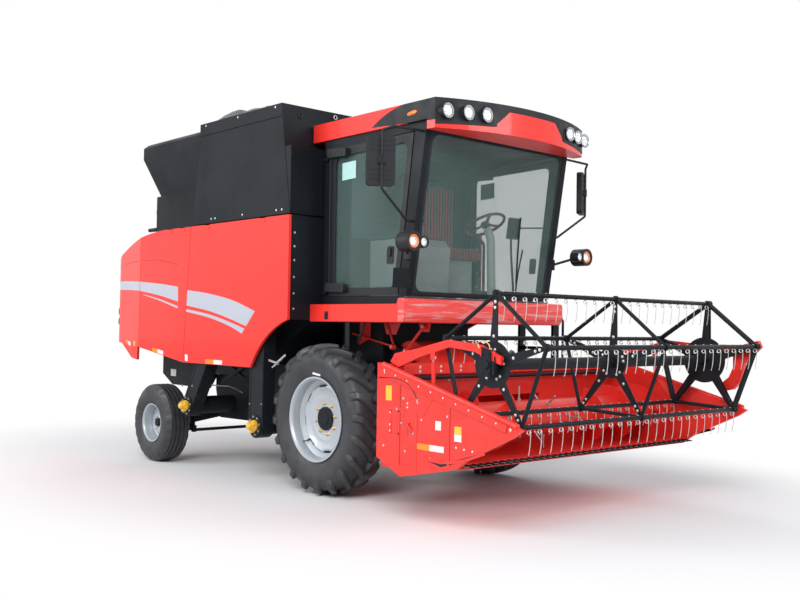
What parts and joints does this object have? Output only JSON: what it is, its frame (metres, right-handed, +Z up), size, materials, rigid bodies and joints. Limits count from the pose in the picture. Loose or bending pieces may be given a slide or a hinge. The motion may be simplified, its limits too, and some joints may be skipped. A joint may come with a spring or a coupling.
{
  "type": "combine harvester",
  "caption": "Wheeled combine harvester: front cab, wide header with tined reel and feed auger, grain tank, rear engine hood, hinged side panels, swinging unloading tube and steered rear axle.",
  "frame": {"origin": "on the ground under the middle of the machine's box", "axes": "+X is the way it drives, +Y its left side, +Z up"},
  "size_m": [6.9826, 3.008, 3.6409],
  "materials": {
    "red_paint": "glossy orange-red machine paint",
    "black_paint": "satin blue-black machine paint",
    "silver_paint": "silver-grey wheel paint",
    "yellow_paint": "yellow bearing caps",
    "tyre": "dull black rubber",
    "glass": "green-tinted safety glass",
    "clear_lens": "ribbed clear lamp lens",
    "amber_lens": "amber lens",
    "mirror": "mirror",
    "black_plastic": "grained black plastic",
    "grey_plastic": "warm grey moulded plastic",
    "wheel_plastic": "dark red grip plastic",
    "seat_fabric": "dark fabric with red weave",
    "tarpaulin": "coated black tarpaulin",
    "steel": "bare worked steel",
    "tine_steel": "zinc-plated bars and tines",
    "chrome": "chromed piston rod",
    "cast_iron": "plain cast block"
  },
  "bodies": {
    "chassis": {"chassis_frame": "black_paint", "front_axle": "black_paint", "rear_axle": "black_paint", "threshing_body": "black_paint", "elevators": "black_paint", "elevator_caps": "yellow_paint", "rear_hood": "red_paint", "grain_tank": "black_paint", "tank_cover": "tarpaulin", "engine_hood": "black_paint", "engine": "cast_iron", "cab_frame": "black_paint", "cab_glass": "glass", "cab_roof": "red_paint", "roof_visor": "black_plastic", "lamp_housings": "black_plastic", "lamp_lenses": "clear_lens", "marker_lamps": "amber_lens", "mirror_frames": "black_plastic", "mirror_glass": "mirror", "cab_interior": "grey_plastic", "seat_cushions": "seat_fabric", "cab_deck": "red_paint", "ladder": "black_paint"},
    "front_wheel_right": {"front_tyre_right": "tyre", "front_rim_right": "silver_paint"},
    "knuckle_body_right": {"knuckle_right": "black_paint"},
    "rear_wheel_right": {"rear_tyre_right": "tyre", "rear_rim_right": "silver_paint"},
    "door_right": {"cab_door_right": "black_paint", "door_glass_right": "glass"},
    "front_side_panel_right": {"front_panel_right": "red_paint"},
    "rear_side_panel_right": {"rear_panel_right": "red_paint"},
    "front_wheel_left": {"front_tyre_left": "tyre", "front_rim_left": "silver_paint"},
    "knuckle_body_left": {"knuckle_left": "black_paint"},
    "rear_wheel_left": {"rear_tyre_left": "tyre", "rear_rim_left": "silver_paint"},
    "door_left": {"cab_door_left": "black_paint", "door_glass_left": "glass"},
    "front_side_panel_left": {"front_panel_left": "red_paint"},
    "rear_side_panel_left": {"rear_panel_left": "red_paint"},
    "tie_rod_body": {"tie_rod": "black_paint"},
    "steering_wheel_body": {"steering_wheel": "wheel_plastic"},
    "header": {"feeder_house": "red_paint", "header_frame": "red_paint", "cutterbar": "steel"},
    "auger": {"header_auger": "red_paint"},
    "reel_carrier": {"reel_arms": "red_paint"},
    "reel": {"reel_rotor": "black_paint"},
    "tines_1": {"tine_bar_1": "tine_steel"},
    "tines_2": {"tine_bar_2": "tine_steel"},
    "tines_3": {"tine_bar_3": "tine_steel"},
    "tines_4": {"tine_bar_4": "tine_steel"},
    "tines_5": {"tine_bar_5": "tine_steel"},
    "header_cylinder_barrels": {"lift_barrels": "black_paint"},
    "header_cylinder_rods": {"lift_rods": "chrome"},
    "reel_cylinder_barrels": {"reel_barrels": "red_paint"},
    "reel_cylinder_rods": {"reel_rods": "chrome"},
    "unloading_tube": {"unloading_auger": "black_paint"}
  },
  "joints": [
    {"name": "front_wheel_spin_right", "type": "hinge", "parent": "chassis", "child": "front_wheel_right", "pos_m": [0.65271, -1.02, 0.676], "axis": [0, 1, 0], "continuous": true},
    {"name": "steer_right", "type": "hinge", "parent": "chassis", "child": "knuckle_body_right", "pos_m": [-2.12729, -0.9, 0.42], "axis": [0, 0, 1], "range_deg": [-30, 30]},
    {"name": "rear_wheel_spin_right", "type": "hinge", "parent": "knuckle_body_right", "child": "rear_wheel_right", "pos_m": [-2.12729, -1.12, 0.42], "axis": [0, 1, 0], "continuous": true},
    {"name": "door_swing_right", "type": "hinge", "parent": "chassis", "child": "door_right", "pos_m": [0.48271, -0.952, 2.47], "axis": [0, 0, -1], "range_deg": [0, 75]},
    {"name": "front_panel_lift_right", "type": "hinge", "parent": "chassis", "child": "front_side_panel_right", "pos_m": [-0.54729, -1.266, 2.506], "axis": [-1, 0, 0], "range_deg": [0, 75]},
    {"name": "rear_panel_lift_right", "type": "hinge", "parent": "chassis", "child": "rear_side_panel_right", "pos_m": [-1.94729, -1.266, 2.506], "axis": [-1, 0, 0], "range_deg": [0, 75]},
    {"name": "front_wheel_spin_left", "type": "hinge", "parent": "chassis", "child": "front_wheel_left", "pos_m": [0.65271, 1.02, 0.676], "axis": [0, 1, 0], "continuous": true},
    {"name": "steer_left", "type": "hinge", "parent": "chassis", "child": "knuckle_body_left", "pos_m": [-2.12729, 0.9, 0.42], "axis": [0, 0, 1], "range_deg": [-30, 30]},
    {"name": "rear_wheel_spin_left", "type": "hinge", "parent": "knuckle_body_left", "child": "rear_wheel_left", "pos_m": [-2.12729, 1.12, 0.42], "axis": [0, 1, 0], "continuous": true},
    {"name": "door_swing_left", "type": "hinge", "parent": "chassis", "child": "door_left", "pos_m": [0.48271, 0.952, 2.47], "axis": [0, 0, 1], "range_deg": [0, 75]},
    {"name": "front_panel_lift_left", "type": "hinge", "parent": "chassis", "child": "front_side_panel_left", "pos_m": [-0.54729, 1.266, 2.506], "axis": [1, 0, 0], "range_deg": [0, 75]},
    {"name": "rear_panel_lift_left", "type": "hinge", "parent": "chassis", "child": "rear_side_panel_left", "pos_m": [-1.94729, 1.266, 2.506], "axis": [1, 0, 0], "range_deg": [0, 75]},
    {"name": "tie_rod_turn", "type": "hinge", "parent": "knuckle_body_left", "child": "tie_rod_body", "pos_m": [-1.91729, 0.9, 0.335], "axis": [0, 0, 1], "range_deg": [-30, 30]},
    {"name": "steering_wheel_turn", "type": "hinge", "parent": "chassis", "child": "steering_wheel_body", "pos_m": [1.23271, 0.38, 2.5], "axis": [-0.4695, 0, 0.8829], "range_deg": [-450, 450]},
    {"name": "header_lift", "type": "hinge", "parent": "chassis", "child": "header", "pos_m": [1.08271, 0, 1.17], "axis": [0, -1, 0], "range_deg": [-16, 10]},
    {"name": "auger_spin", "type": "hinge", "parent": "header", "child": "auger", "pos_m": [2.25271, 0, 0.77], "axis": [0, 1, 0], "continuous": true},
    {"name": "reel_lift", "type": "hinge", "parent": "header", "child": "reel_carrier", "pos_m": [2.01271, 0, 1.254], "axis": [0, -1, 0], "range_deg": [0, 22]},
    {"name": "reel_spin", "type": "hinge", "parent": "reel_carrier", "child": "reel", "pos_m": [2.98271, 0, 1.26], "axis": [0, 1, 0], "continuous": true},
    {"name": "tine_bar_turn_1", "type": "hinge", "parent": "reel", "child": "tines_1", "pos_m": [3.00704, 0, 1.75741], "axis": [0, 1, 0], "continuous": true},
    {"name": "tine_bar_turn_2", "type": "hinge", "parent": "reel", "child": "tines_2", "pos_m": [3.46329, 0, 1.39057], "axis": [0, 1, 0], "continuous": true},
    {"name": "tine_bar_turn_3", "type": "hinge", "parent": "reel", "child": "tines_3", "pos_m": [3.2554, 0, 0.84329], "axis": [0, 1, 0], "continuous": true},
    {"name": "tine_bar_turn_4", "type": "hinge", "parent": "reel", "child": "tines_4", "pos_m": [2.67066, 0, 0.87189], "axis": [0, 1, 0], "continuous": true},
    {"name": "tine_bar_turn_5", "type": "hinge", "parent": "reel", "child": "tines_5", "pos_m": [2.51717, 0, 1.43684], "axis": [0, 1, 0], "continuous": true},
    {"name": "header_cylinder_swing", "type": "hinge", "parent": "chassis", "child": "header_cylinder_barrels", "pos_m": [0.71271, 0, 0.47], "axis": [0, -1, 0], "range_deg": [-6.4, 4.2]},
    {"name": "header_cylinder_stroke", "type": "slide", "parent": "header_cylinder_barrels", "child": "header_cylinder_rods", "axis": [0.9792, 0, 0.203], "range_m": [-0.175, 0.111]},
    {"name": "reel_cylinder_swing", "type": "hinge", "parent": "header", "child": "reel_cylinder_barrels", "pos_m": [2.42971, 0, 1.06], "axis": [0, -1, 0], "range_deg": [0, 6.5]},
    {"name": "reel_cylinder_stroke", "type": "slide", "parent": "reel_cylinder_barrels", "child": "reel_cylinder_rods", "axis": [-0.0087, 0, 1], "range_m": [0, 0.158]},
    {"name": "unloading_swing", "type": "hinge", "parent": "chassis", "child": "unloading_tube", "pos_m": [0.09271, 1.15, 2.82], "axis": [0, 0, -1], "range_deg": [0, 95]}
  ],
  "couplings": [
    {"joint": "steer_right", "follows": "steer_left", "ratio": 1},
    {"joint": "tie_rod_turn", "follows": "steer_left", "ratio": -1},
    {"joint": "steering_wheel_turn", "follows": "steer_left", "ratio": -15},
    {"joint": "header_cylinder_swing", "follows": "header_lift", "ratio": 0.385},
    {"joint": "header_cylinder_stroke", "follows": "header_lift", "m_per_rad": 0.619},
    {"joint": "reel_cylinder_swing", "follows": "reel_lift", "ratio": 0.286},
    {"joint": "reel_cylinder_stroke", "follows": "reel_lift", "m_per_rad": 0.405},
    {"joint": "tine_bar_turn_1", "follows": "reel_spin", "ratio": -1},
    {"joint": "tine_bar_turn_2", "follows": "reel_spin", "ratio": -1},
    {"joint": "tine_bar_turn_3", "follows": "reel_spin", "ratio": -1},
    {"joint": "tine_bar_turn_4", "follows": "reel_spin", "ratio": -1},
    {"joint": "tine_bar_turn_5", "follows": "reel_spin", "ratio": -1}
  ]
}
